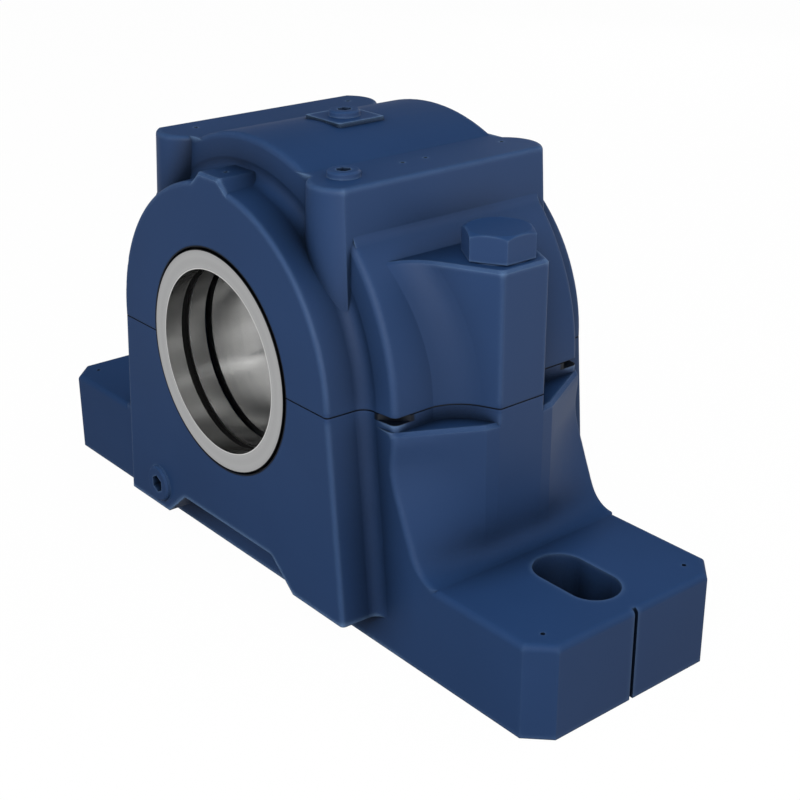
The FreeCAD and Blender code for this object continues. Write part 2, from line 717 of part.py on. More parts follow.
def foot_slot():
    """Long hole for a mounting bolt."""
    radius = SLOT_WIDTH / 2
    half = SLOT_LENGTH / 2 - radius
    height = FOOT_THICKNESS + 2 * CUT_SPARE
    ends = [upright_hole(SLOT_X + step, 0, radius, -CUT_SPARE, height - CUT_SPARE) for step in (-half, half)]
    run = box(SLOT_X - half, SLOT_X + half, -radius, radius, -CUT_SPARE, height - CUT_SPARE)
    return fused([run] + ends)


def base_pocket():
    """Cored pocket under one side of the base."""
    shell = CHAMBER_RADIUS + POCKET_SHELL
    low_top = CENTRE_HEIGHT - math.sqrt(shell ** 2 - POCKET_INNER ** 2)
    turn_x = math.sqrt(shell ** 2 - (CENTRE_HEIGHT - POCKET_HEIGHT) ** 2)
    turn = POCKET_ROUND
    corners = [(POCKET_INNER, -CUT_SPARE, 0), (POCKET_INNER, low_top, turn / 2),
               (turn_x, POCKET_HEIGHT, turn), (POCKET_SHOULDER, POCKET_HEIGHT, turn),
               (POCKET_OUTER, FOOT_THICKNESS - POCKET_SHELL, turn), (POCKET_OUTER, -CUT_SPARE, 0)]
    return prism(corners, upright(-POCKET_HALF_WIDTH), V(0, 2 * POCKET_HALF_WIDTH, 0))


def drain_passage():
    """Tapped hole for a drain plug in the front collar, with the drilling up to the chamber."""
    thread = DRAIN_PLUG_THREAD + PLUG_THREAD_CLEARANCE
    inward = V(0, 1, 0)
    start = V(-DRAIN_X, -COLLAR_FACE - CUT_SPARE, DRAIN_HEIGHT)
    tapped = Part.makeCylinder(thread, CUT_SPARE + DRAIN_PLUG_LENGTH + PLUG_HOLE_SPARE, start, inward)
    riser_y = CHAMBER_END - CHAMBER_ROUND - DRAIN_HOLE_RADIUS - DRAIN_SETBACK
    drilled = Part.makeCylinder(DRAIN_HOLE_RADIUS, COLLAR_FACE + CUT_SPARE - riser_y, start, inward)
    riser = upright_hole(-DRAIN_X, -riser_y, DRAIN_HOLE_RADIUS, DRAIN_HEIGHT, CENTRE_HEIGHT)
    return fused([tapped, drilled, riser])


def housing_base():
    """Base casting."""
    forms = [foot_plate()]
    forms += base_wall()
    forms += base_neck()
    forms += both_ends(base_collar())
    base = fused(forms)
    cutters = [seat_and_seal_bore()]
    cutters += both_sides(foot_slot())
    cutters += both_sides(base_pocket())
    cutters += both_ends(base_collar_notch())
    for slot in both_sides(pry_slot()):
        cutters += both_ends(slot)
    cutters.append(joint_groove())
    thread = BOLT_RADIUS + BOLT_THREAD_CLEARANCE
    hole_end = CENTRE_HEIGHT - BOLT_ENGAGEMENT - BOLT_HOLE_SPARE
    top = CENTRE_HEIGHT + CUT_SPARE
    cutters += both_sides(upright_hole(BOLT_OFFSET, 0, thread, hole_end, top))
    for x, y in dowel_places():
        dowel_end = CENTRE_HEIGHT - DOWEL_LENGTH / 2
        cutters.append(upright_hole(x, y, DOWEL_RADIUS + DOWEL_CLEARANCE, dowel_end, top))
    passage = drain_passage()
    cutters += [passage, mirrored_x(mirrored_y(passage))]
    half_groove = END_GROOVE_WIDTH / 2
    groove = box(HALF_LENGTH - END_GROOVE_DEPTH, HALF_LENGTH + CUT_SPARE, -half_groove, half_groove,
                 -CUT_SPARE, FOOT_THICKNESS + CUT_SPARE)
    cutters += both_sides(groove)
    mark = drill_mark(HALF_LENGTH - FOOT_MARK_END_INSET, HALF_WIDTH - FOOT_MARK_SIDE_INSET, FOOT_THICKNESS)
    for end_mark in both_ends(mark):
        cutters += both_sides(end_mark)
    return base.cut(cutters)


def hexagon(flats, degrees):
    """Corners of a hexagon, the first one at the given angle."""
    radius = flats / 2 / math.cos(math.radians(30))
    angles = [math.radians(degrees + 60 * step) for step in range(6)]
    return [(radius * math.cos(a), radius * math.sin(a), 0) for a in angles]


def cap_bolt():
    """Hexagon cap bolt: washer face, chamfered head and shank, head up on the boss."""
    head_low = BOSS_TOP + BOLT_WASHER_FACE
    head = prism(hexagon(BOLT_HEAD_FLATS, 90), flat(head_low), V(0, 0, BOLT_HEAD_HEIGHT))
    crown_radius = BOLT_HEAD_FLATS / 2 - BOLT_CROWN_INSET
    cone_foot = crown_radius + BOLT_HEAD_HEIGHT / math.tan(math.radians(BOLT_CROWN_DEGREES))
    head = head.common(Part.makeCone(cone_foot, crown_radius, BOLT_HEAD_HEIGHT, V(0, 0, head_low)))
    washer_radius = BOLT_HEAD_FLATS / 2 - BOLT_WASHER_INSET
    washer_face = Part.makeCylinder(washer_radius, BOLT_WASHER_FACE, V(0, 0, BOSS_TOP))
    low = CENTRE_HEIGHT - BOLT_ENGAGEMENT
    shank_low = low + BOLT_END_CHAMFER
    shank = Part.makeCylinder(BOLT_RADIUS, BOSS_TOP - shank_low, V(0, 0, shank_low))
    tip = Part.makeCone(BOLT_RADIUS - BOLT_END_CHAMFER, BOLT_RADIUS, BOLT_END_CHAMFER, V(0, 0, low))
    bolt = fused([head, washer_face, shank, tip])
    bolt.translate(V(BOLT_OFFSET, 0, 0))
    return bolt


def plug(head_radius, head_height, thread_radius, length, hex_flats):
    """Round-headed plug with a hexagon socket, its seat at z = 0 and its head up."""
    chamfer = PLUG_HEAD_CHAMFER
    head = Part.makeCylinder(head_radius, head_height - chamfer)
    rim = Part.makeCone(head_radius, head_radius - chamfer, chamfer, V(0, 0, head_height - chamfer))
    thread = Part.makeCylinder(thread_radius, length, V(0, 0, -length))
    socket_floor = head_height - PLUG_HEX_DEPTH
    socket = prism(hexagon(hex_flats, 90), flat(socket_floor), V(0, 0, PLUG_HEX_DEPTH + CUT_SPARE))
    return fused([head, rim, thread]).cut(socket)


def grease_plug(x, y, z):
    """Grease plug screwed down to height z."""
    shape = plug(GREASE_PLUG_RADIUS, GREASE_PLUG_HEAD,
                 GREASE_PLUG_THREAD, GREASE_PLUG_LENGTH, GREASE_PLUG_HEX)
    shape.translate(V(x, y, z))
    return shape


def drain_plug():
    """Drain plug in the front collar."""
    shape = plug(DRAIN_PLUG_RADIUS, DRAIN_PLUG_HEAD,
                 DRAIN_PLUG_THREAD, DRAIN_PLUG_LENGTH, DRAIN_PLUG_HEX)
    shape.rotate(V(0, 0, 0), V(1, 0, 0), 90)
    shape.translate(V(-DRAIN_X, -COLLAR_FACE, DRAIN_HEIGHT))
    return shape


def dowel(x, y):
    """Parallel dowel pin across the joint."""
    return Part.makeCylinder(DOWEL_RADIUS, DOWEL_LENGTH, V(x, y, CENTRE_HEIGHT - DOWEL_LENGTH / 2))


def outer_ring():
    """Outer ring with its spherical raceway and oil groove."""
    half = HALF_BEARING
    edge = BEARING_EDGE_ROUND
    section = [(0, -half, 0), (BEARING_RADIUS, -half, edge), (BEARING_RADIUS, half, edge), (0, half, 0)]
    ring = turned(section)
    raceway = Part.makeSphere(RACEWAY_RADIUS, V(0, 0, CENTRE_HEIGHT), V(0, 1, 0))
    half_groove = OIL_GROOVE_WIDTH / 2
    floor = BEARING_RADIUS - OIL_GROOVE_DEPTH
    groove = plain_ring(floor, BEARING_RADIUS + CUT_SPARE, -half_groove, half_groove)
    holes = []
    for index in range(OIL_HOLES):
        direction = radial(index * 360.0 / OIL_HOLES)
        holes.append(Part.makeCylinder(OIL_HOLE_RADIUS, BEARING_RADIUS, V(0, 0, CENTRE_HEIGHT), direction))
    return ring.cut([raceway, groove] + holes)


def roller_centre_and_axis(degrees, end):
    """Middle and axis of the roller at an angle round the shaft, in the row at the given end."""
    out = radial(degrees)
    centre = out * (ROLLER_DISTANCE * math.cos(ROLLER_TILT))
    centre = centre + V(0, end * ROLLER_DISTANCE * math.sin(ROLLER_TILT), CENTRE_HEIGHT)
    axis = V(0, end * math.cos(ROLLER_TILT), 0) - out * math.sin(ROLLER_TILT)
    return centre, axis


def roller_angles(end):
    """Angles of a row's rollers; the rear row is half a step on."""
    step = 360.0 / ROLLERS
    offset = 0.0 if end < 0 else step / 2
    return [offset + step * index for index in range(ROLLERS)]


def roller_blank():
    """Barrel roller standing on its end at the origin."""
    half = ROLLER_LENGTH / 2
    side = Part.Arc(V(ROLLER_END_RADIUS, 0, -half), V(ROLLER_RADIUS, 0, 0), V(ROLLER_END_RADIUS, 0, half))
    edges = [Part.makeLine(V(0, 0, -half), V(ROLLER_END_RADIUS, 0, -half)), side.toShape(),
             Part.makeLine(V(ROLLER_END_RADIUS, 0, half), V(0, 0, half)),
             Part.makeLine(V(0, 0, half), V(0, 0, -half))]
    return Part.Face(Part.Wire(edges)).revolve(V(0, 0, 0), V(0, 0, 1), 360)


def in_row(blank, end):
    """Copies of a shape standing at the origin, one at each roller's place in a row."""
    copies = []
    for degrees in roller_angles(end):
        centre, axis = roller_centre_and_axis(degrees, end)
        copy = blank.copy()
        copy.Placement = FreeCAD.Placement(centre, FreeCAD.Rotation(V(0, 0, 1), axis))
        copies.append(copy)
    return copies


def cage(end):
    """Window cage of one row: a coned band with a pocket round each roller."""
    centre, axis = roller_centre_and_axis(90.0, end)
    inner_y = CAGE_INNER_EDGE
    outer_y = HALF_BEARING - CAGE_END_RECESS

    def middle(y):
        return centre.x + axis.x / axis.y * (y * end - centre.y)

    half = CAGE_THICKNESS / 2
    section = [(middle(inner_y) - half, end * inner_y, 0), (middle(outer_y) - half, end * outer_y, 0),
               (middle(outer_y) + half, end * outer_y, 0), (middle(inner_y) + half, end * inner_y, 0)]
    length = ROLLER_LENGTH + 2 * CAGE_POCKET_CLEARANCE
    pocket = Part.makeCylinder(ROLLER_RADIUS + CAGE_POCKET_CLEARANCE, length, V(0, 0, -length / 2))
    return turned(section).cut(in_row(pocket, end))


def plain_ring(bore, outside, front, rear):
    """Ring of rectangular section."""
    return turned([(bore, front, 0), (outside, front, 0), (outside, rear, 0), (bore, rear, 0)])


def guide_ring():
    """Loose ring between the two rows of rollers."""
    half = GUIDE_RING_WIDTH / 2
    return plain_ring(INNER_RING_RADIUS + GUIDE_RING_CLEARANCE, GUIDE_RING_RADIUS, -half, half)


def taper_radius(y):
    """Radius of the taper between inner ring and sleeve; it grows towards the rear."""
    return INNER_BORE_RADIUS + (y + HALF_BEARING) * TAPER


def inner_ring():
    """Inner ring with a tapered bore and a hollow raceway for each row."""
    half = HALF_BEARING
    ring = turned([(taper_radius(-half), -half, 0), (INNER_RING_RADIUS, -half, 0),
                   (INNER_RING_RADIUS, half, 0), (taper_radius(half), half, 0)])
    contact = ROLLER_DISTANCE - ROLLER_RADIUS - RUNNING_GAP
    arc_distance = contact + RACE_ARC
    arc_centre = beside_shaft(arc_distance * math.cos(ROLLER_TILT), arc_distance * math.sin(ROLLER_TILT))
    disc = Part.Face(Part.Wire([Part.makeCircle(RACE_ARC, arc_centre, V(0, 0, 1))]))
    low = INNER_BORE_RADIUS
    high = INNER_RING_RADIUS + CUT_SPARE
    end = half - INNER_FLANGE
    strip = Part.Face(outline([(low, INNER_LAND_HALF, 0), (high, INNER_LAND_HALF, 0),
                               (high, end, 0), (low, end, 0)], beside_shaft))
    raceway = disc.common(strip).revolve(V(0, 0, CENTRE_HEIGHT), V(0, -1, 0), 360)
    return ring.cut(both_ends(raceway))


def locating_ring():
    """Open ring between the front of the bearing and the edge of the seat."""
    ring = plain_ring(LOCATING_RING_BORE, BEARING_RADIUS, -SEAT_HALF, -HALF_BEARING)
    reach = BEARING_RADIUS + CUT_SPARE
    half = reach * math.tan(math.radians(LOCATING_RING_GAP_DEGREES) / 2)
    corners = [(0, CENTRE_HEIGHT, 0), (half, CENTRE_HEIGHT + reach, 0), (-half, CENTRE_HEIGHT + reach, 0)]
    front = -SEAT_HALF - CUT_SPARE
    return ring.cut(prism(corners, upright(front), V(0, LOCATING_RING_WIDTH + 2 * CUT_SPARE, 0)))


def sleeve_slot():
    """Cutter for the slit along the adapter sleeve."""
    half = SLEEVE_SLOT / 2
    slit = box(-half, half, -SLEEVE_FRONT - CUT_SPARE, SLEEVE_REAR + CUT_SPARE,
               CENTRE_HEIGHT, CENTRE_HEIGHT + BEARING_RADIUS)
    return turned_about_shaft(slit, SLEEVE_SLOT_DEGREES)


def thread_radius():
    """Outside of the sleeve's thread, just under the small end of the taper."""
    return taper_radius(-HALF_BEARING) - SLEEVE_THREAD_DROP


def adapter_sleeve():
    """Slit sleeve: tapered under the inner ring, threaded for the lock nut in front."""
    start = -HALF_BEARING
    chamfer = SLEEVE_CHAMFER
    thread = thread_radius()
    rear_radius = taper_radius(SLEEVE_REAR) - SLEEVE_TAPER_CLEARANCE
    corners = [(SHAFT_RADIUS, -SLEEVE_FRONT, 0), (thread - chamfer, -SLEEVE_FRONT, 0),
               (thread, -SLEEVE_FRONT + chamfer, 0), (thread, start, 0),
               (taper_radius(start) - SLEEVE_TAPER_CLEARANCE, start, 0),
               (rear_radius, SLEEVE_REAR, 0), (SHAFT_RADIUS, SLEEVE_REAR, 0)]
    return turned(corners).cut(sleeve_slot())


def lock_washer():
    """Lock washer with teeth round its edge and a tab in the sleeve's slit."""
    back = -HALF_BEARING
    front = back - WASHER_THICKNESS
    bore = thread_radius() + NUT_CLEARANCE
    root = (bore + WASHER_RADIUS) / 2
    half = WASHER_TOOTH_WIDTH / 2
    tooth = box(-half, half, front, back, CENTRE_HEIGHT + root, CENTRE_HEIGHT + WASHER_TOOTH_RADIUS)
    teeth = round_shaft(tooth, WASHER_TEETH)
    half_tab = SLEEVE_SLOT / 2 - NUT_CLEARANCE
    tab_end = SHAFT_RADIUS + WASHER_TAB_CLEARANCE
    tab = box(-half_tab, half_tab, front, back, CENTRE_HEIGHT + tab_end, CENTRE_HEIGHT + root)
    washer = plain_ring(bore, WASHER_RADIUS, front, back)
    return fused([washer, turned_about_shaft(tab, SLEEVE_SLOT_DEGREES)] + teeth)


def lock_nut():
    """Slotted round nut on the sleeve's thread."""
    back = -HALF_BEARING - WASHER_THICKNESS
    front = back - NUT_WIDTH
    bore = thread_radius() + NUT_CLEARANCE
    nut = turned([(bore, back, 0), (NUT_RADIUS, back, 0), (NUT_RADIUS, front + NUT_CHAMFER, 0),
                  (NUT_RADIUS - NUT_CHAMFER, front, 0), (bore, front, 0)])
    half = NUT_SLOT_WIDTH / 2
    floor = CENTRE_HEIGHT + NUT_RADIUS - NUT_SLOT_DEPTH
    slot = box(-half, half, front - CUT_SPARE, back + CUT_SPARE, floor, floor + NUT_SLOT_DEPTH + CUT_SPARE)
    return nut.cut(round_shaft(slot, NUT_SLOTS))


def oring_radius():
    """Half thickness of an O-ring lying in its groove."""
    return ORING_GROOVE_WIDTH / 2 - ORING_CLEARANCE / 2


def seal_ring():
    """Front labyrinth ring with two fins and an O-ring groove in its bore."""
    chamfer = SEAL_EDGE_CHAMFER
    body = turned([(SHAFT_RADIUS, -SEAL_FACE, 0), (SEAL_RADIUS - chamfer, -SEAL_FACE, 0),
                   (SEAL_RADIUS, -SEAL_FACE + chamfer, 0), (SEAL_RADIUS, -SEAL_INNER_END, 0),
                   (SHAFT_RADIUS, -SEAL_INNER_END, 0)])
    half = SEAL_FIN_WIDTH / 2
    root = (SHAFT_RADIUS + SEAL_RADIUS) / 2
    fins = [plain_ring(root, SEAL_FIN_RADIUS, -place - half, -place + half) for place in SEAL_FIN_PLACES]
    floor = SHAFT_RADIUS + 2 * oring_radius() + 2 * ORING_CLEARANCE
    groove_end = ORING_GROOVE_WIDTH - ORING_GROOVE_OUTER
    groove = plain_ring(SHAFT_RADIUS - CUT_SPARE, floor, -ORING_GROOVE_OUTER, groove_end)
    return fused([body] + fins).cut(groove)


def oring():
    """O-ring in the bore of the front seal ring."""
    radius = oring_radius()
    middle = SHAFT_RADIUS + ORING_CLEARANCE + radius
    y = -ORING_GROOVE_OUTER + ORING_GROOVE_WIDTH / 2
    return Part.makeTorus(middle, radius, V(0, y, CENTRE_HEIGHT), V(0, 1, 0))


def save(name, shape):
    """Write one piece to its own file."""
    shape.exportStep(f"parts/{name}.step")
    print(name, "volume", round(shape.Volume), "solids", len(shape.Solids), "valid", shape.isValid())


def main():
    os.makedirs("parts", exist_ok=True)
    save("housing_base", housing_base())
    save("housing_cap", housing_cap())
    bolt = cap_bolt()
    save("cap_bolt_right", bolt)
    save("cap_bolt_left", mirrored_x(bolt))
    right_dowel, left_dowel = dowel_places()
    save("dowel_pin_right", dowel(*right_dowel))
    save("dowel_pin_left", dowel(*left_dowel))
    save("top_grease_plug", grease_plug(0, 0, TOP_PAD_TOP))
    save("side_grease_plug", grease_plug(SIDE_PLUG_X, -SIDE_PLUG_Y, BLOCK_TOP))
    drain = drain_plug()
    save("drain_plug_front", drain)
    save("drain_plug_rear", mirrored_x(mirrored_y(drain)))
    save("outer_ring", outer_ring())
    front_ring = locating_ring()
    save("locating_ring_front", front_ring)
    save("locating_ring_rear", mirrored_y(front_ring))
    roller = roller_blank()
    save("rollers_front", Part.makeCompound(in_row(roller, -1)))
    save("rollers_rear", Part.makeCompound(in_row(roller, 1)))
    save("cage_front", cage(-1))
    save("cage_rear", cage(1))
    save("guide_ring", guide_ring())
    save("inner_ring", inner_ring())
    save("adapter_sleeve", adapter_sleeve())
    save("lock_washer", lock_washer())
    save("lock_nut", lock_nut())
    front_seal = seal_ring()
    save("seal_ring_front", front_seal)
    save("seal_ring_rear", mirrored_y(front_seal))
    front_oring = oring()
    save("oring_front", front_oring)
    save("oring_rear", mirrored_y(front_oring))


main()
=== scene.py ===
# %% [markdown]
# # A split plummer block in satin blue paint
#
# The object is a cast-iron bearing housing in two halves, painted dark blue, with bare turned steel
# showing in its bore. The solids come ready made, so this lesson dresses them: a camera, the masks
# that paint and steel need, one finish after the other, and a white studio with soft lamps.

# %% Load the housing
import json
import math

import bpy
import bmesh
from mathutils import Matrix, Vector


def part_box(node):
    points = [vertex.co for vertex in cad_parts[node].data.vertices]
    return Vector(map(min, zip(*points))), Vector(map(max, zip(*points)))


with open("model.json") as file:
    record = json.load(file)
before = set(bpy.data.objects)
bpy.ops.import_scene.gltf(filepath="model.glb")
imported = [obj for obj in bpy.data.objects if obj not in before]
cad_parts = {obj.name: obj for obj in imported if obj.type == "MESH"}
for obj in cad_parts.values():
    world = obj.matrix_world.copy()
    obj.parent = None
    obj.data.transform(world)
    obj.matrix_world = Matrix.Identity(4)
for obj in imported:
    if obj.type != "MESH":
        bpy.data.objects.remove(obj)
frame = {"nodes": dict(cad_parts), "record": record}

scene = bpy.context.scene
MM = 0.001
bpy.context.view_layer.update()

# %% [markdown]
# ## Where the camera stands
#
# The picture was taken from the front right, a little above the housing. Three angles, the place of
# the lens and its focal length say all of it. The lens looks back along a line given by an azimuth
# round the housing and an elevation above the floor, and a slight roll turns the picture. An empty
# as a target would do the same, but angles can be read, compared and changed one at a time.

# %% Camera
AZIMUTH = math.radians(50.62)
ELEVATION = math.radians(23.51)
ROLL = math.radians(0.21)
LENS_PLACE = Vector((538.9, -410.2, 369.0)) * MM
LENS_MM = 66.6
SENSOR_MM = 36.0
NEAREST_SEEN = 10 * MM
PICTURE_SHIFT_X = 0.0005
PICTURE_SHIFT_Y = -0.0009

towards_camera = Vector((math.sin(AZIMUTH) * math.cos(ELEVATION),
                         -math.cos(AZIMUTH) * math.cos(ELEVATION),
                         math.sin(ELEVATION)))
camera_data = bpy.data.cameras.new("studio_camera")
camera_data.lens = LENS_MM
camera_data.sensor_width = SENSOR_MM
camera_data.clip_start = NEAREST_SEEN
camera_data.shift_x = PICTURE_SHIFT_X
camera_data.shift_y = PICTURE_SHIFT_Y
camera = bpy.data.objects.new("studio_camera", camera_data)
camera.rotation_mode = "QUATERNION"
upright = towards_camera.to_track_quat("Z", "Y")
camera.rotation_quaternion = upright @ Matrix.Rotation(-ROLL, 4, "Z").to_quaternion()
camera.location = LENS_PLACE
scene.collection.objects.link(camera)
scene.camera = camera
print("camera at", [round(v, 3) for v in camera.location])

# %% [markdown]
# ## Small helpers for node trees
#
# Every finish below is a node tree, built in code so that the whole look can be read from top to
# bottom. Three short helpers keep the trees readable: one adds a node and sets its values by name,
# one starts a shader group with named sockets, and one places such a group in a material.

# %% Node helpers
def add_node(tree, kind, **values):
    """A new node of a kind; values are properties of the node or, failing that, input sockets."""
    node = tree.nodes.new(kind)
    for name, value in values.items():
        if hasattr(node, name):
            setattr(node, name, value)
        else:
            node.inputs[name.replace("_", " ").title()].default_value = value
    return node


def start_group(name, inputs, outputs):
    """A shader node group with float inputs, and its input and output nodes."""
    tree = bpy.data.node_groups.new(name, "ShaderNodeTree")
    for socket, default in inputs.items():
        made = tree.interface.new_socket(socket, in_out="INPUT", socket_type="NodeSocketFloat")
        made.default_value = default
    for socket, kind in outputs.items():
        tree.interface.new_socket(socket, in_out="OUTPUT", socket_type=kind)
    return tree, tree.nodes.new("NodeGroupInput"), tree.nodes.new("NodeGroupOutput")


def place_group(tree, group, **values):
    """One use of a node group in a material, with its own values."""
    node = tree.nodes.new("ShaderNodeGroup")
    node.node_tree = group
    for name, value in values.items():
        node.inputs[name.replace("_", " ").title()].default_value = value
    return node


NUMBER = "NodeSocketFloat"
DIRECTION = "NodeSocketVector"
print("node helpers are ready")

# %% [markdown]
# ## Small sums with masks
#
# A finish is mostly masks: numbers from 0 to 1 that say where something shows. These helpers blend
# two colours by a mask, cut a measure off softly, and multiply or compare two masks. They hide the
# wiring, so that each finish reads like a list of what a painter did.

# %% Mask helpers
def mixed(tree, share, first, second):
    """Blend two colours, each one a linked output or three numbers."""
    mix = add_node(tree, "ShaderNodeMix", data_type="RGBA")
    colour_sockets = [socket for socket in mix.inputs if socket.type == "RGBA"]
    for socket, colour in zip(colour_sockets, (first, second)):
        if isinstance(colour, tuple):
            socket.default_value = (*colour, 1.0)
        else:
            tree.links.new(colour, socket)
    tree.links.new(share, mix.inputs[0])
    return [socket for socket in mix.outputs if socket.type == "RGBA"][0]


def reckon(tree, operation, first, second):
    """One step of arithmetic on two values, each a linked output or a constant."""
    node = add_node(tree, "ShaderNodeMath", operation=operation)
    for socket, value in zip(node.inputs, (first, second)):
        if isinstance(value, float):
            socket.default_value = value
        else:
            tree.links.new(value, socket)
    return node.outputs[0]


def product(tree, first, second):
    """Two values multiplied: as masks, the places where both show."""
    return reckon(tree, "MULTIPLY", first, second)


def larger(tree, first, second):
    """The larger of two values: as masks, the places where either shows."""
    return reckon(tree, "MAXIMUM", first, second)


def clamped(tree, value, low, high):
    """A linked value turned into a mask: 0 at low, 1 at high, with a soft step between."""
    ramp = add_node(tree, "ShaderNodeMapRange", clamp=True, interpolation_type="SMOOTHSTEP")
    ramp.inputs["From Min"].default_value = low
    ramp.inputs["From Max"].default_value = high
    tree.links.new(value, ramp.inputs["Value"])
    return ramp.outputs["Result"]


def between(tree, value, low, high):
    """A linked value from 0 to 1 spread between two constants."""
    spread = add_node(tree, "ShaderNodeMapRange")
    spread.inputs["To Min"].default_value = low
    spread.inputs["To Max"].default_value = high
    tree.links.new(value, spread.inputs["Value"])
    return spread.outputs["Result"]


print("mask helpers are ready")

# %% [markdown]
# ## Where a point lies on the housing
#
# Much of the look depends on place: near the joint, round the bore, down on the feet. The CAD
# pieces sit unturned at the origin, so Object coordinates are metres in the housing's own frame,
# and a pattern on them stays put in every view. Dropping one or two axes of the offset turns the
# distance to a point into the distance to a line or to a plane.

# %% Place helpers
def object_place(tree):
    """The point's place in the housing's own frame."""
    return add_node(tree, "ShaderNodeTexCoord").outputs["Object"]


def distance_to(tree, place, centre, axes):
    """Distance from a place to a centre; axes are 1 along the ways that count, else 0."""
    offset = add_node(tree, "ShaderNodeVectorMath", operation="SUBTRACT")
    offset.inputs[1].default_value = centre
    across = add_node(tree, "ShaderNodeVectorMath", operation="MULTIPLY")
    across.inputs[1].default_value = axes
    length = add_node(tree, "ShaderNodeVectorMath", operation="LENGTH")
    tree.links.new(place, offset.inputs[0])
    tree.links.new(offset.outputs["Vector"], across.inputs[0])
    tree.links.new(across.outputs["Vector"], length.inputs[0])
    return length.outputs["Value"]


def noise_of_size(tree, place, size, detail):
    """Noise with lumps of a linked size in metres; detail is how many finer noises lie on top."""
    noise = add_node(tree, "ShaderNodeTexNoise", detail=detail)
    tree.links.new(reckon(tree, "DIVIDE", 1.0, size), noise.inputs["Scale"])
    tree.links.new(place, noise.inputs["Vector"])
    return noise.outputs["Fac"]


def middle_of(node):
    """The middle of a CAD node's box."""
    low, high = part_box(node)
    return (low + high) / 2


FLOOR_LEVEL = (0.0, 0.0, 0.0)
SHAFT_HEIGHT = middle_of("seal_ring_front").z
SHAFT_PLACE = (0.0, 0.0, SHAFT_HEIGHT)
ALONG_X, ALONG_Z = (1.0, 0.0, 0.0), (0.0, 0.0, 1.0)
ROUND_SHAFT, ROUND_UPRIGHT = (1.0, 0.0, 1.0), (1.0, 1.0, 0.0)
print("shaft runs along Y at height", round(SHAFT_HEIGHT, 4))

# %% [markdown]
# ## Rounded edges and dark corners
#
# Paint flows round a cast edge, so no edge of the real housing is knife sharp, and it catches the
# light in a thin line. Modelling that round on every edge would cost many faces, while the Bevel
# node turns the normals near an edge as a small round would. Ambient Occlusion looking inwards
# finds the outer edges, which the paint lightens as a painted highlight of that thin line. Looking
# outwards it finds the inner corners, which the paint darkens as painted shade. One group does
# all three, and each paint uses it with its own sizes.

# %% Group: edges and corners
EDGE_CLEAR, EDGE_FULL = 0.85, 0.55
CORNER_CLEAR, CORNER_FULL = 0.96, 0.54
LOOKS = 6


def occlusion_mask(tree, reach, inside, clear, full):
    """How far a point lies in an edge or a corner: 0 at an open face, 1 deep in it."""
    occlusion = add_node(tree, "ShaderNodeAmbientOcclusion", inside=inside, only_local=True,
                         samples=LOOKS)
    mask = add_node(tree, "ShaderNodeMapRange", clamp=True)
    mask.inputs["From Min"].default_value = clear
    mask.inputs["From Max"].default_value = full
    tree.links.new(reach, occlusion.inputs["Distance"])
    tree.links.new(occlusion.outputs["AO"], mask.inputs["Value"])
    return mask.outputs["Result"]


def build_edges():
    tree, given, result = start_group(
        "edges_and_corners", {"Radius": 1 * MM, "Edge Reach": 2 * MM, "Corner Reach": 10 * MM},
        {"Normal": DIRECTION, "Edge": NUMBER, "Corner": NUMBER})
    bevel = add_node(tree, "ShaderNodeBevel", samples=LOOKS)
    tree.links.new(given.outputs["Radius"], bevel.inputs["Radius"])
    edge = occlusion_mask(tree, given.outputs["Edge Reach"], True, EDGE_CLEAR, EDGE_FULL)
    corner = occlusion_mask(tree, given.outputs["Corner Reach"], False, CORNER_CLEAR, CORNER_FULL)
    tree.links.new(bevel.outputs["Normal"], result.inputs["Normal"])
    tree.links.new(edge, result.inputs["Edge"])
    tree.links.new(corner, result.inputs["Corner"])
    return tree


edges_and_corners = build_edges()
print("made group", edges_and_corners.name)

# %% [markdown]
# ## Cast iron under thick paint
#
# A sand casting is never quite flat: broad, low waves remain under the paint, and the paint itself
# dries with a fine orange-peel skin. Both are far too low for the mesh, so they are heights for a
# Bump node. Two noises of different size make the height, and a third, very broad one changes the
# tone a little, as a sprayed coat does.

# %% Group: cast skin
TONE_SCALE = 14.0


def build_cast_skin():
    tree, given, result = start_group(
        "cast_skin", {"Wave Size": 12 * MM, "Peel Size": 1.1 * MM, "Peel Share": 0.3},
        {"Height": NUMBER, "Tone": NUMBER})
    place = object_place(tree)
    waves = noise_of_size(tree, place, given.outputs["Wave Size"], detail=2.0)
    peel = noise_of_size(tree, place, given.outputs["Peel Size"], detail=2.0)
    low_peel = product(tree, peel, given.outputs["Peel Share"])
    tone = add_node(tree, "ShaderNodeTexNoise", detail=3.0, scale=TONE_SCALE)
    tree.links.new(place, tone.inputs["Vector"])
    tree.links.new(reckon(tree, "ADD", waves, low_peel), result.inputs["Height"])
    tree.links.new(tone.outputs["Fac"], result.inputs["Tone"])
    return tree


cast_skin = build_cast_skin()
print("made group", cast_skin.name)

# %% [markdown]
# ## Lathe marks
#
# Turned steel carries fine rings round its axis. On an end face they are circles, and in a bore
# they run round the wall. Both come from one trick: a noise that depends only on the distance from
# the shaft axis and on the place along it, and never on the angle round it. The group also gives
# that distance, because the seal ring's finish needs it.

# %% Group: lathe marks
STREAK_SCALE = 220.0


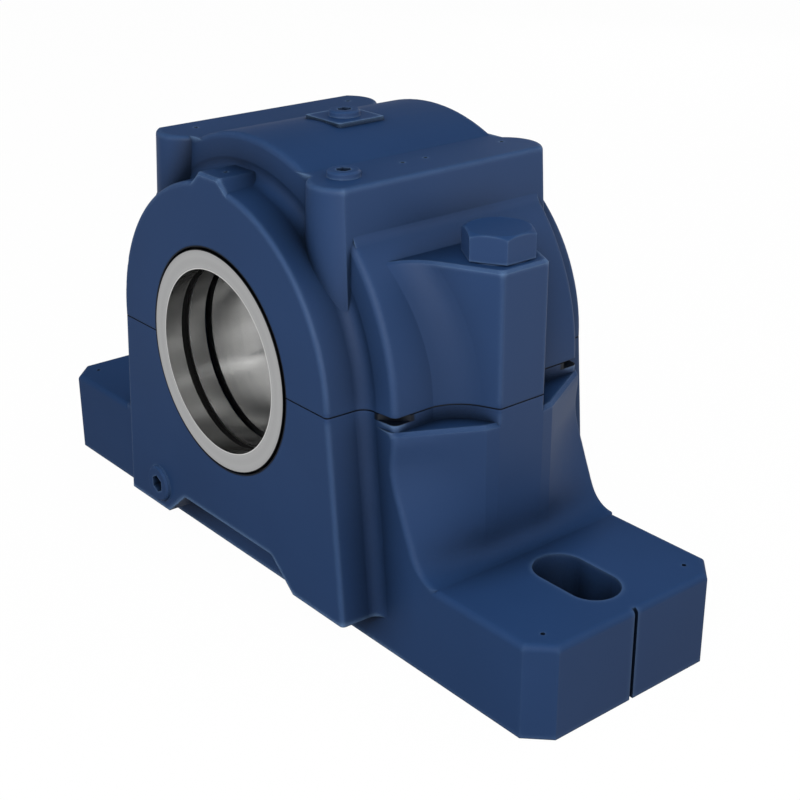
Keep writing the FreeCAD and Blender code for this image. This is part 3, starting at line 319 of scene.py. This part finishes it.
def build_lathe_marks():
    tree, given, result = start_group(
        "lathe_marks", {"Pitch": 0.4 * MM},
        {"Height": NUMBER, "Streak": NUMBER, "Distance": NUMBER})
    place = object_place(tree)
    radius = distance_to(tree, place, SHAFT_PLACE, ROUND_SHAFT)
    parts = add_node(tree, "ShaderNodeSeparateXYZ")
    rings = add_node(tree, "ShaderNodeCombineXYZ")
    tree.links.new(place, parts.inputs[0])
    tree.links.new(radius, rings.inputs["X"])
    tree.links.new(parts.outputs["Y"], rings.inputs["Y"])
    fine = noise_of_size(tree, rings.outputs[0], given.outputs["Pitch"], detail=1.0)
    broad = add_node(tree, "ShaderNodeTexNoise", detail=2.0, scale=STREAK_SCALE)
    tree.links.new(rings.outputs[0], broad.inputs["Vector"])
    tree.links.new(fine, result.inputs["Height"])
    tree.links.new(broad.outputs["Fac"], result.inputs["Streak"])
    tree.links.new(radius, result.inputs["Distance"])
    return tree


lathe_marks = build_lathe_marks()
print("made group", lathe_marks.name)

# %% [markdown]
# ## Places without the painted edge highlight
#
# On the real housing the joint between cap and base is a hair-thin dark line. The mouth of the bore
# and the four notches where a bar parts the halves get painted shade, and the painted edge
# highlight mustn't brighten the rims there. The dowels sit close behind the surface, and the look
# inwards would take that thin wall for an edge. The feet get little of the painted edge highlight,
# and floor dust dulls their gloss. A painted image could mark these places, but distances to them
# say it more plainly and need no UV map.

# %% Group: quiet places
JOINT_EDGE = (1.5 * MM, 4 * MM)
BORE_EDGE = (55 * MM, 58 * MM)
DOWEL_EDGE = (8 * MM, 11 * MM)
FOOT_ROOT = (112 * MM, 104 * MM)
FOOT_TOP = (46 * MM, 54 * MM)
# The feet keep only this share of the painted edge highlight.
FOOT_HIGHLIGHT = 0.3
DUST_HEIGHTS = (30 * MM, 110 * MM)
FOOT_SHEEN = 0.62
SEAM_EDGE = (0.45 * MM, 0.2 * MM)
# Where painted shade darkens the mouth of the bore and the pry notches.
MOUTH_EDGE = (54.7 * MM, 54.1 * MM)
PRY_NOTCH = (98.5 * MM, 52.0 * MM, SHAFT_HEIGHT - 1.5 * MM)
NOTCH_REACH = (10 * MM, 8.5 * MM)
NOTCH_HALF_HEIGHT = (1.9 * MM, 1.6 * MM)


def highlight_places(tree, place, joint, bore, height):
    """1 where the paint's edges get the painted highlight, 0 where it is kept off."""
    highlighted = product(tree, clamped(tree, joint, *JOINT_EDGE), clamped(tree, bore, *BORE_EDGE))
    for pin in ("dowel_pin_right", "dowel_pin_left"):
        away = distance_to(tree, place, middle_of(pin), ROUND_UPRIGHT)
        highlighted = product(tree, highlighted, clamped(tree, away, *DOWEL_EDGE))
    length = distance_to(tree, place, FLOOR_LEVEL, ALONG_X)
    off_feet = larger(tree, clamped(tree, length, *FOOT_ROOT), clamped(tree, height, *FOOT_TOP))
    return product(tree, highlighted, between(tree, off_feet, FOOT_HIGHLIGHT, 1.0))


def seam_and_painted_shade(tree, place, joint, bore):
    """1 in the joint's dark line, and in the painted shade at the bore's mouth and the four pry
    notches.
    """
    seam = clamped(tree, joint, *SEAM_EDGE)
    mouth = clamped(tree, bore, *MOUTH_EDGE)
    any_corner = add_node(tree, "ShaderNodeVectorMath", operation="ABSOLUTE")
    tree.links.new(place, any_corner.inputs[0])
    across = distance_to(tree, any_corner.outputs["Vector"], PRY_NOTCH, ROUND_UPRIGHT)
    level = distance_to(tree, place, PRY_NOTCH, ALONG_Z)
    notch = product(tree, clamped(tree, across, *NOTCH_REACH),
                    clamped(tree, level, *NOTCH_HALF_HEIGHT))
    return larger(tree, larger(tree, seam, mouth), notch)


def build_quiet_places():
    tree, given, result = start_group(
        "quiet_places", {}, {"Highlight Places": NUMBER, "Seam And Shade": NUMBER, "Clean": NUMBER})
    place = object_place(tree)
    joint = distance_to(tree, place, SHAFT_PLACE, ALONG_Z)
    bore = distance_to(tree, place, SHAFT_PLACE, ROUND_SHAFT)
    height = distance_to(tree, place, FLOOR_LEVEL, ALONG_Z)
    clean = between(tree, clamped(tree, height, *DUST_HEIGHTS), FOOT_SHEEN, 1.0)
    tree.links.new(highlight_places(tree, place, joint, bore, height), result.inputs["Highlight Places"])
    tree.links.new(seam_and_painted_shade(tree, place, joint, bore), result.inputs["Seam And Shade"])
    tree.links.new(clean, result.inputs["Clean"])
    return tree


quiet_places = build_quiet_places()
print("made group", quiet_places.name)

# %% [markdown]
# ## How a finish starts
#
# Each finish is one Principled shader. Numbers that are the same all over are set on its own
# sockets, and only what changes over the surface comes in through a link, so that the model can be
# exported with its look. No real surface has one flat colour, so a ramp swings between two near
# tones.

# %% Finish helpers
TONE_LOW, TONE_HIGH = 0.3, 0.7


def start_material(name, **sockets):
    """A node material with an empty Principled shader; sockets are its constant values."""
    material = bpy.data.materials.new(name)
    material.use_nodes = True
    shader = material.node_tree.nodes["Principled BSDF"]
    for socket, value in sockets.items():
        shader.inputs[socket.replace("_", " ")].default_value = value
    return material, material.node_tree, shader


def tone_ramp(tree, value, low, high):
    """Blend two colours by a value that swings round one half."""
    ramp = add_node(tree, "ShaderNodeValToRGB")
    for element, place, colour in zip(ramp.color_ramp.elements, (TONE_LOW, TONE_HIGH), (low, high)):
        element.position = place
        element.color = (*colour, 1.0)
    tree.links.new(value, ramp.inputs["Fac"])
    return ramp.outputs["Color"]


def add_bump(tree, shader, height, depth):
    """A Bump node on the shader's normal; it is returned for a finish that bevels its edges."""
    bump = add_node(tree, "ShaderNodeBump", distance=depth)
    tree.links.new(height, bump.inputs["Height"])
    tree.links.new(bump.outputs["Normal"], shader.inputs["Normal"])
    return bump


print("finish helpers are ready")

# %% [markdown]
# ## Blue paint
#
# Castings, bolts and plugs wear the same dark blue enamel. Its body is almost matt, and the soft
# shine on top is the Coat layer of the Principled shader. Dust settles on every face that looks up
# and dulls it, while the upright faces stay glossier, and the end faces stay the cleanest. A
# darker second paint on the tops would look flat. Letting the direction of the surface thin the
# coat keeps one colour and gives both looks.

# %% Finish: blue paint
BODY_DARK = (0.0135, 0.0370, 0.103)
BODY_LIGHT = (0.0155, 0.0415, 0.115)
# Painted highlight colour for the outer edges.
PAINTED_HIGHLIGHT_BLUE = (0.15, 0.25, 0.42)
# Painted shade colour for inner corners, the mouth of the bore and the pry notches, and the joint's
# dark line.
SHADE_AND_SEAM_BLUE = (0.0025, 0.0045, 0.009)
PAINTED_SHADE_SHARE = 0.95
FRONT_SHEEN = 0.24
END_SHEEN = 0.6
SHEEN_GONE, SHEEN_WHOLE = 0.95, 0.5
REACH_PER_RADIUS = 3.2


def wall_sheen(tree):
    """Coat weight by the way a face looks: nothing on tops, most on the two ends."""
    direction = add_node(tree, "ShaderNodeTexCoord").outputs["Normal"]
    parts = add_node(tree, "ShaderNodeSeparateXYZ")
    size = add_node(tree, "ShaderNodeVectorMath", operation="ABSOLUTE")
    tree.links.new(direction, size.inputs[0])
    tree.links.new(size.outputs["Vector"], parts.inputs[0])
    share = between(tree, parts.outputs["X"], FRONT_SHEEN, END_SHEEN)
    wall = add_node(tree, "ShaderNodeMath", operation="SUBTRACT", use_clamp=True)
    wall.inputs[0].default_value = 1.0
    tree.links.new(parts.outputs["Z"], wall.inputs[1])
    return product(tree, share, wall.outputs[0])


def blue_paint(name, edge_radius, corner_reach, wave_size, bump_height, highlight_share):
    """Satin blue paint on iron or steel."""
    material, tree, shader = start_material(name, Specular_IOR_Level=0.005, Roughness=0.5,
                                            Coat_Roughness=0.55)
    edges = place_group(tree, edges_and_corners, radius=edge_radius,
                        edge_reach=REACH_PER_RADIUS * edge_radius, corner_reach=corner_reach)
    skin = place_group(tree, cast_skin, wave_size=wave_size)
    quiet = place_group(tree, quiet_places)
    body = tone_ramp(tree, skin.outputs["Tone"], BODY_DARK, BODY_LIGHT)
    # Painted highlight: a lighter blue along outer edges stands in for the light their small rounds
    # catch.
    edge_highlight = product(tree, edges.outputs["Edge"], quiet.outputs["Highlight Places"])
    highlighted = mixed(tree, product(tree, edge_highlight, highlight_share), body, PAINTED_HIGHLIGHT_BLUE)
    # Painted shade: a near-black blue deep in inner corners stands in for the shade that falls
    # there.
    corner_shade_share = product(tree, edges.outputs["Corner"], PAINTED_SHADE_SHARE)
    corner_shaded = mixed(tree, corner_shade_share, highlighted, SHADE_AND_SEAM_BLUE)
    # The joint's dark line, and painted shade at the mouth of the bore and in the pry notches.
    seamed_and_shaded = mixed(tree, quiet.outputs["Seam And Shade"], corner_shaded, SHADE_AND_SEAM_BLUE)
    tree.links.new(seamed_and_shaded, shader.inputs["Base Color"])
    open_place = clamped(tree, edges.outputs["Corner"], SHEEN_GONE, SHEEN_WHOLE)
    sheen = product(tree, product(tree, wall_sheen(tree), open_place), quiet.outputs["Clean"])
    tree.links.new(sheen, shader.inputs["Coat Weight"])
    bump = add_bump(tree, shader, skin.outputs["Height"], bump_height)
    tree.links.new(edges.outputs["Normal"], bump.inputs["Normal"])
    return material


casting_paint = blue_paint("casting_paint", edge_radius=1 * MM, corner_reach=28 * MM,
                           wave_size=12 * MM, bump_height=0.05 * MM, highlight_share=0.6)
fitting_paint = blue_paint("fitting_paint", edge_radius=0.5 * MM, corner_reach=6 * MM,
                           wave_size=4 * MM, bump_height=0.012 * MM, highlight_share=0.25)
print("made paints", casting_paint.name, fitting_paint.name)

# %% [markdown]
# ## Bare steel
#
# The sleeve is ground bright, the bearing is ground all over, and the cages are dull pressed sheet.
# All of them are metals whose rings of lathe marks differ in depth and in how far they scatter the
# light. A brushed image would have to be wrapped round every ring, while the lathe marks follow the
# shaft by themselves.

# %% Finish: turned steel
ROUGHNESS_SWING = 0.03


def start_steel(name, pitch, bump_height):
    """Bare metal with lathe marks, still without colour and roughness."""
    material, tree, shader = start_material(name, Metallic=1.0)
    marks = place_group(tree, lathe_marks, pitch=pitch)
    add_bump(tree, shader, marks.outputs["Height"], bump_height)
    return material, tree, shader, marks


def turned_steel(name, dark, light, roughness, pitch, bump_height):
    """Bare steel that is turned or ground the same way all over."""
    material, tree, shader, marks = start_steel(name, pitch, bump_height)
    colour = tone_ramp(tree, marks.outputs["Streak"], dark, light)
    rough = between(tree, marks.outputs["Streak"],
                    roughness - ROUGHNESS_SWING, roughness + ROUGHNESS_SWING)
    tree.links.new(colour, shader.inputs["Base Color"])
    tree.links.new(rough, shader.inputs["Roughness"])
    return material


sleeve_steel = turned_steel("sleeve_steel", dark=(0.74, 0.74, 0.74), light=(0.8, 0.8, 0.79),
                            roughness=0.18, pitch=0.6 * MM, bump_height=0.002 * MM)
ring_steel = turned_steel("ring_steel", dark=(0.58, 0.59, 0.6), light=(0.66, 0.66, 0.66),
                          roughness=0.2, pitch=0.3 * MM, bump_height=0.001 * MM)
cage_steel = turned_steel("cage_steel", dark=(0.34, 0.34, 0.34), light=(0.42, 0.42, 0.41),
                          roughness=0.4, pitch=0.8 * MM, bump_height=0.003 * MM)
print("made steels", sleeve_steel.name, ring_steel.name, cage_steel.name)

# %% [markdown]
# ## The seal ring's three skins
#
# The seal ring shows three different surfaces. Its end face is turned matt, its bore is ground
# bright for the shaft, and its outside, down in the gap, is painted near black as the shade in that
# gap. Three materials on chosen faces would do it, but the ring is one piece with one slot, so the
# distance from the shaft axis tells the three apart.

# %% Finish: seal ring
SEAL_BORE = 44.0 * MM
SEAL_OUTSIDE = 52.3 * MM
SEAL_FACE_DARK, SEAL_FACE_LIGHT = (0.31, 0.312, 0.315), (0.36, 0.362, 0.365)
GROUND_STEEL = (0.6, 0.6, 0.595)
# Painted shade for the ring's outside, down in the gap.
GAP_SHADE = (0.01, 0.01, 0.011)
FACE_ROUGHNESS, GROUND_ROUGHNESS = 0.42, 0.16


def seal_ring_steel():
    """Matt end face, ground bore and an outside painted with the gap's shade, in one material."""
    material, tree, shader, marks = start_steel("seal_steel", pitch=0.45 * MM,
                                                bump_height=0.004 * MM)
    face = tone_ramp(tree, marks.outputs["Streak"], SEAL_FACE_DARK, SEAL_FACE_LIGHT)
    in_bore = reckon(tree, "LESS_THAN", marks.outputs["Distance"], SEAL_BORE)
    outside = reckon(tree, "GREATER_THAN", marks.outputs["Distance"], SEAL_OUTSIDE)
    ground = mixed(tree, in_bore, face, GROUND_STEEL)
    tree.links.new(mixed(tree, outside, ground, GAP_SHADE), shader.inputs["Base Color"])
    rough = between(tree, in_bore, FACE_ROUGHNESS, GROUND_ROUGHNESS)
    tree.links.new(rough, shader.inputs["Roughness"])
    return material


seal_steel = seal_ring_steel()
print("made", seal_steel.name)

# %% [markdown]
# ## O-ring rubber
#
# The O-rings in the seal rings' bores are moulded black rubber: near black, matt, with the fine
# grain of the mould. The cast skin group makes that grain too, only far smaller, which shows why
# its sizes are inputs.

# %% Finish: rubber
RUBBER_DARK, RUBBER_LIGHT = (0.003, 0.003, 0.003), (0.006, 0.006, 0.006)


def black_rubber(name):
    """Moulded O-ring rubber."""
    material, tree, shader = start_material(name, Specular_IOR_Level=0.02, Roughness=0.6)
    skin = place_group(tree, cast_skin, wave_size=2 * MM, peel_size=0.2 * MM)
    colour = tone_ramp(tree, skin.outputs["Tone"], RUBBER_DARK, RUBBER_LIGHT)
    tree.links.new(colour, shader.inputs["Base Color"])
    add_bump(tree, shader, skin.outputs["Height"], depth=0.005 * MM)
    return material


seal_rubber = black_rubber("seal_rubber")
print("made", seal_rubber.name)

# %% [markdown]
# ## Dress the pieces
#
# The record names a material slot for each piece. One table joins the slots to the finishes, so a
# piece keeps its own finish even if another piece is added later. A list of pieces would do as
# well, but it would have to be kept in step with the solids.

# %% Give each piece its finish
FINISH_OF_SLOT = {
    "painted_casting": casting_paint,
    "painted_steel": fitting_paint,
    "bearing_steel": ring_steel,
    "cage_steel": cage_steel,
    "sleeve_steel": sleeve_steel,
    "seal_steel": seal_steel,
    "seal_rubber": seal_rubber,
}
for part in frame["record"]["subparts"]:
    node = frame["nodes"][part["node"]]
    node.data.materials.clear()
    node.data.materials.append(FINISH_OF_SLOT[part["material_slot"]])
print("dressed", len(frame["nodes"]), "pieces")

# %% [markdown]
# ## A white floor
#
# The floor is a plain pale sheet. Light Path tells which ray asks for its colour: where the camera
# sees it, or steel mirrors it, it is close to white and keeps a soft shadow. For the rays that only
# carry light it is a dark sheet, because a white one would light the housing from below and wash
# out its walls.

# %% Floor
FLOOR_RADIUS = 6.0
FLOOR_DROP = 0.2 * MM
FLOOR_GLOW = 0.98
FLOOR_WHITE = (0.9, 0.9, 0.9)
FLOOR_BOUNCE = (0.15, 0.15, 0.15)


def build_floor():
    """A round sheet just under the feet."""
    shape = bmesh.new()
    bmesh.ops.create_circle(shape, cap_ends=True, radius=FLOOR_RADIUS, segments=96)
    mesh = bpy.data.meshes.new("floor")
    shape.to_mesh(mesh)
    shape.free()
    sheet = bpy.data.objects.new("floor", mesh)
    sheet.location.z = -FLOOR_DROP
    scene.collection.objects.link(sheet)
    return sheet


def any_sight(tree):
    """1 for a ray that shows the background: seen by the camera, or mirrored in gloss or glass."""
    path = add_node(tree, "ShaderNodeLightPath")
    seen = path.outputs["Is Camera Ray"]
    for socket in ("Is Glossy Ray", "Is Transmission Ray"):
        seen = larger(tree, seen, path.outputs[socket])
    return seen


def floor_material():
    """Pale sheet with a glow that only sight rays meet."""
    material = bpy.data.materials.new("studio_floor")
    material.use_nodes = True
    tree = material.node_tree
    tree.nodes.clear()
    seen = any_sight(tree)
    sheet = add_node(tree, "ShaderNodeBsdfDiffuse")
    tree.links.new(mixed(tree, seen, FLOOR_BOUNCE, FLOOR_WHITE), sheet.inputs["Color"])
    white = add_node(tree, "ShaderNodeEmission")
    mix = add_node(tree, "ShaderNodeMixShader")
    out = add_node(tree, "ShaderNodeOutputMaterial")
    tree.links.new(product(tree, seen, FLOOR_GLOW), mix.inputs[0])
    tree.links.new(sheet.outputs[0], mix.inputs[1])
    tree.links.new(white.outputs[0], mix.inputs[2])
    tree.links.new(mix.outputs[0], out.inputs["Surface"])
    return material


floor = build_floor()
floor.data.materials.append(floor_material())
print("floor radius", FLOOR_RADIUS)

# %% [markdown]
# ## The room's own light
#
# A grey room lights the housing from all round, a trifle less from above than from the horizon, so
# that the upright walls don't fall behind the tops. The same trick as on the floor shows white
# wherever the room is seen or mirrored. A picture of a studio would put its own windows into the
# steel, and plain light keeps the colours as they are written.

# %% World
HORIZON_LIGHT, ZENITH_LIGHT = 0.3, 0.28
WHITE = (1.0, 1.0, 1.0, 1.0)


def build_world():
    """Plain grey light from all round, and white where it is seen."""
    world = bpy.data.worlds.new("studio")
    world.use_nodes = True
    tree = world.node_tree
    tree.nodes.clear()
    place = add_node(tree, "ShaderNodeTexCoord")
    parts = add_node(tree, "ShaderNodeSeparateXYZ")
    tree.links.new(place.outputs["Generated"], parts.inputs[0])
    light = add_node(tree, "ShaderNodeBackground")
    strength = between(tree, parts.outputs["Z"], HORIZON_LIGHT, ZENITH_LIGHT)
    tree.links.new(strength, light.inputs["Strength"])
    seen = add_node(tree, "ShaderNodeBackground", strength=1.0)
    for shade in (light, seen):
        shade.inputs["Color"].default_value = WHITE
    mix = add_node(tree, "ShaderNodeMixShader")
    out = add_node(tree, "ShaderNodeOutputWorld")
    tree.links.new(any_sight(tree), mix.inputs[0])
    tree.links.new(light.outputs[0], mix.inputs[1])
    tree.links.new(seen.outputs[0], mix.inputs[2])
    tree.links.new(mix.outputs[0], out.inputs["Surface"])
    return world


scene.world = build_world()
scene.view_settings.view_transform = "Standard"
print("world", scene.world.name, "view transform", scene.view_settings.view_transform)

# %% [markdown]
# ## Soft lamps
#
# Five square panels shape the housing. The key stands at the front right and lights the collar and
# the blocks, a small one near the right end lifts the bolt boss and the foot, and one behind on
# the right draws the boss's far flank. A broad fill from the front left keeps the collar's face
# even, and another behind on the left lights the back. Panels give soft shadows, while point lamps
# would cut hard ones under the blocks.

# %% Lamps
LAMP_AIM = Vector((0.0, 0.0, 0.17))


def soft_panel(name, place, size, watts):
    """A square area lamp that faces the upper half of the housing."""
    data = bpy.data.lights.new(name, "AREA")
    data.shape = "SQUARE"
    data.size = size
    data.energy = watts
    lamp = bpy.data.objects.new(name, data)
    lamp.location = place
    lamp.rotation_mode = "QUATERNION"
    lamp.rotation_quaternion = (LAMP_AIM - Vector(place)).to_track_quat("-Z", "Y")
    scene.collection.objects.link(lamp)
    return lamp


panels = [
    soft_panel("key_right", (0.55, -0.65, 0.65), size=0.5, watts=7.5),
    soft_panel("near_right", (0.5, -0.1, 0.42), size=0.3, watts=0.65),
    soft_panel("rear_right", (0.4, 0.7, 0.7), size=0.5, watts=2.5),
    soft_panel("fill_left", (-0.5, -1.35, 0.75), size=0.8, watts=5.5),
    soft_panel("rear_left", (-0.7, 1.3, 0.6), size=0.9, watts=4.5),
]
print("lamps", [panel.name for panel in panels])
